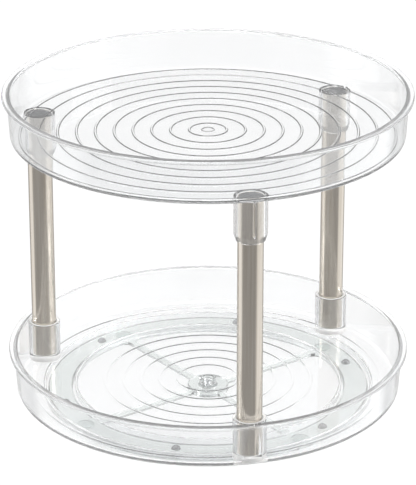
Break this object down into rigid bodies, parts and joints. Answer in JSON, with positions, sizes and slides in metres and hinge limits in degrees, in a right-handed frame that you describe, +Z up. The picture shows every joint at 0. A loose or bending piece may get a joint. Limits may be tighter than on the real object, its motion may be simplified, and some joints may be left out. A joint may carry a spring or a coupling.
{
  "type": "two-tier turntable",
  "caption": "Round two-tier countertop turntable: clear rimmed trays joined by brushed steel tubes, turning on ball bearings in a low clear base.",
  "frame": {"origin": "on the table, under the middle of the base", "axes": "+Z up along the axis the trays turn about; -Y is the front, where one post stands a little to the right of the middle"},
  "size_m": [0.292, 0.292, 0.2371],
  "materials": {
    "clear_plastic": "polished and transparent",
    "base_plastic": "transparent, slightly hazy",
    "brushed_steel": "brushed along the tube",
    "bearing_steel": "polished",
    "zinc_steel": "bright zinc plate",
    "soft_pad": "matte translucent"
  },
  "bodies": {
    "base": {"turntable_base": "base_plastic", "base_foot_1": "soft_pad", "base_foot_2": "soft_pad", "base_foot_3": "soft_pad", "base_foot_4": "soft_pad"},
    "turntable": {"upper_tray": "clear_plastic", "lower_tray": "clear_plastic", "post_front": "brushed_steel", "post_left": "brushed_steel", "post_right": "brushed_steel", "pivot_screw": "zinc_steel", "pivot_washer": "zinc_steel"},
    "ball_1": {"bearing_ball_1": "bearing_steel"},
    "ball_2": {"bearing_ball_2": "bearing_steel"},
    "ball_3": {"bearing_ball_3": "bearing_steel"},
    "ball_4": {"bearing_ball_4": "bearing_steel"},
    "ball_5": {"bearing_ball_5": "bearing_steel"},
    "ball_6": {"bearing_ball_6": "bearing_steel"}
  },
  "joints": [
    {"name": "turntable_spin", "type": "hinge", "parent": "base", "child": "turntable", "pos_m": [0, 0, 0], "axis": [0, 0, 1], "continuous": true},
    {"name": "ball_1_roll", "type": "hinge", "parent": "base", "child": "ball_1", "pos_m": [0.081, -0.07293, 0.00613], "axis": [0.7431, -0.6691, 0], "continuous": true},
    {"name": "ball_2_roll", "type": "hinge", "parent": "base", "child": "ball_2", "pos_m": [0.10366, 0.03368, 0.00613], "axis": [0.9511, 0.309, 0], "continuous": true},
    {"name": "ball_3_roll", "type": "hinge", "parent": "base", "child": "ball_3", "pos_m": [0.02266, 0.10662, 0.00613], "axis": [0.2079, 0.9781, 0], "continuous": true},
    {"name": "ball_4_roll", "type": "hinge", "parent": "base", "child": "ball_4", "pos_m": [-0.081, 0.07293, 0.00613], "axis": [-0.7431, 0.6691, 0], "continuous": true},
    {"name": "ball_5_roll", "type": "hinge", "parent": "base", "child": "ball_5", "pos_m": [-0.10366, -0.03368, 0.00613], "axis": [-0.9511, -0.309, 0], "continuous": true},
    {"name": "ball_6_roll", "type": "hinge", "parent": "base", "child": "ball_6", "pos_m": [-0.02266, -0.10662, 0.00613], "axis": [-0.2079, -0.9781, 0], "continuous": true}
  ],
  "couplings": [
    {"joint": "ball_1_roll", "follows": "turntable_spin", "ratio": -34.331},
    {"joint": "ball_2_roll", "follows": "turntable_spin", "ratio": -34.331},
    {"joint": "ball_3_roll", "follows": "turntable_spin", "ratio": -34.331},
    {"joint": "ball_4_roll", "follows": "turntable_spin", "ratio": -34.331},
    {"joint": "ball_5_roll", "follows": "turntable_spin", "ratio": -34.331},
    {"joint": "ball_6_roll", "follows": "turntable_spin", "ratio": -34.331}
  ]
}
